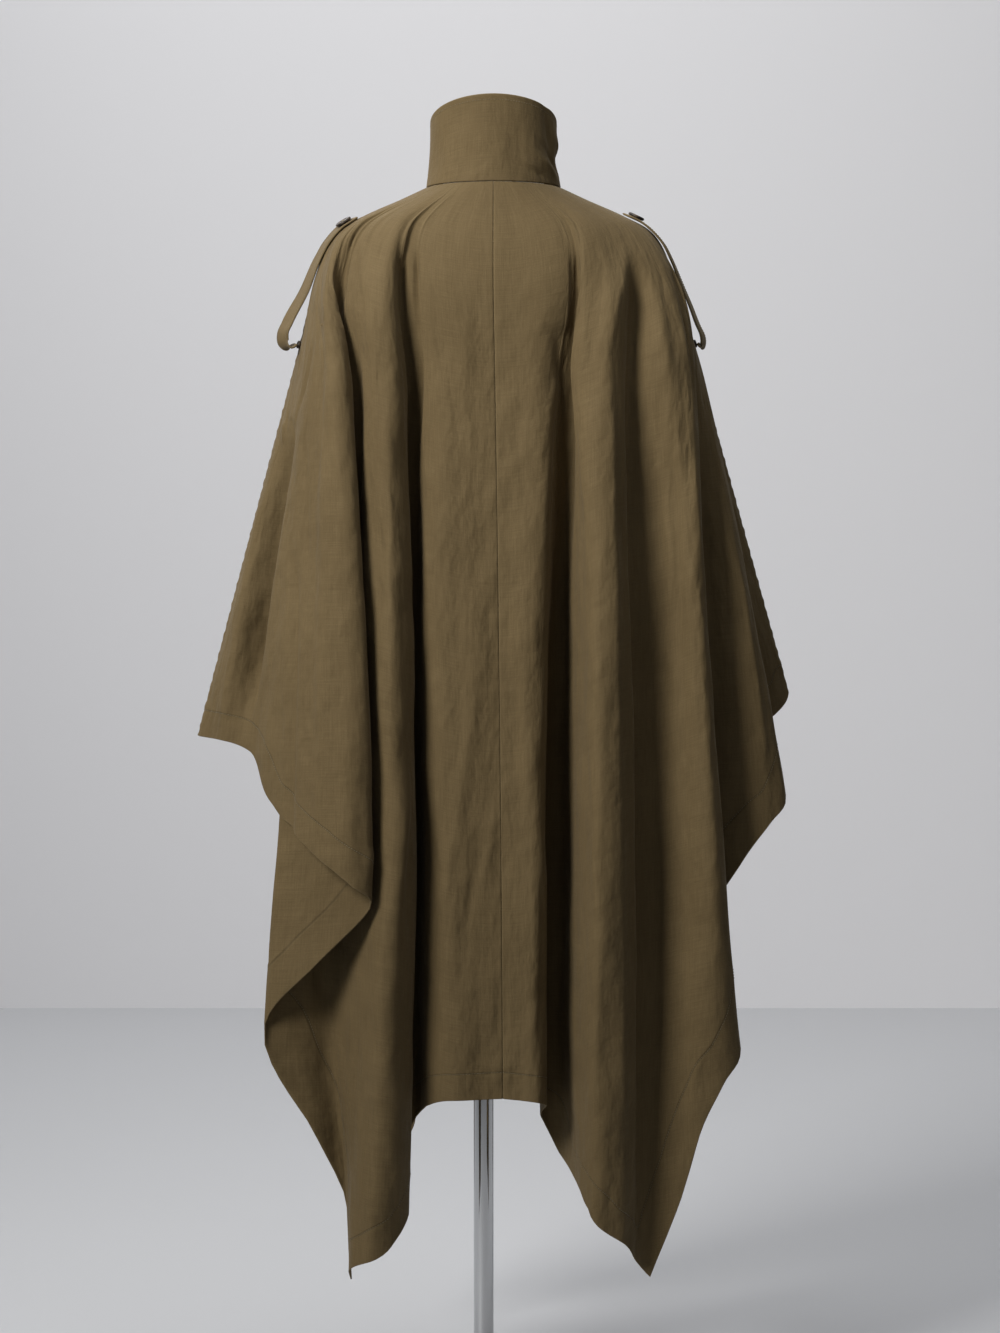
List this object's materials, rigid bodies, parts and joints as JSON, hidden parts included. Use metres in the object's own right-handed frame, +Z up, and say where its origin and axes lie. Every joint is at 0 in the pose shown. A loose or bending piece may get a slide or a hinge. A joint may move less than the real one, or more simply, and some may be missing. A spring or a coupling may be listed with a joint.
{
  "type": "batwing coat on dress form stand",
  "caption": "Loose batwing coat with stand collar, buttoned shoulder straps and pointed cascade corners, draped over a limbless dress form on a pole with a round base.",
  "frame": {"origin": "centre of the round base's underside, on the pole's axis, at floor level", "axes": "+Z up along the pole; +X towards the wearer's left; +Y towards the wearer's back, so the coat's front faces -Y"},
  "size_m": [0.7342, 0.4183, 1.595],
  "materials": {
    "olive_cotton": "plain woven crisp cotton, matt with a faint sheen",
    "dark_horn": "mottled dark horn, satin",
    "form_cover": "plain linen cover, matt",
    "neck_cap_wood": "turned wood, satin lacquer",
    "polished_steel": "polished"
  },
  "bodies": {
    "root": {"back_left": "olive_cotton", "back_right": "olive_cotton", "front_left": "olive_cotton", "front_right": "olive_cotton", "front_placket": "olive_cotton", "collar": "olive_cotton", "strap_left": "olive_cotton", "strap_right": "olive_cotton", "button_left": "dark_horn", "button_right": "dark_horn", "loop_button_left": "dark_horn", "loop_button_right": "dark_horn", "form_torso": "form_cover", "form_neck_cap": "neck_cap_wood", "stand_ferrule": "polished_steel", "stand_pole": "polished_steel", "stand_base": "polished_steel"}
  },
  "joints": []
}
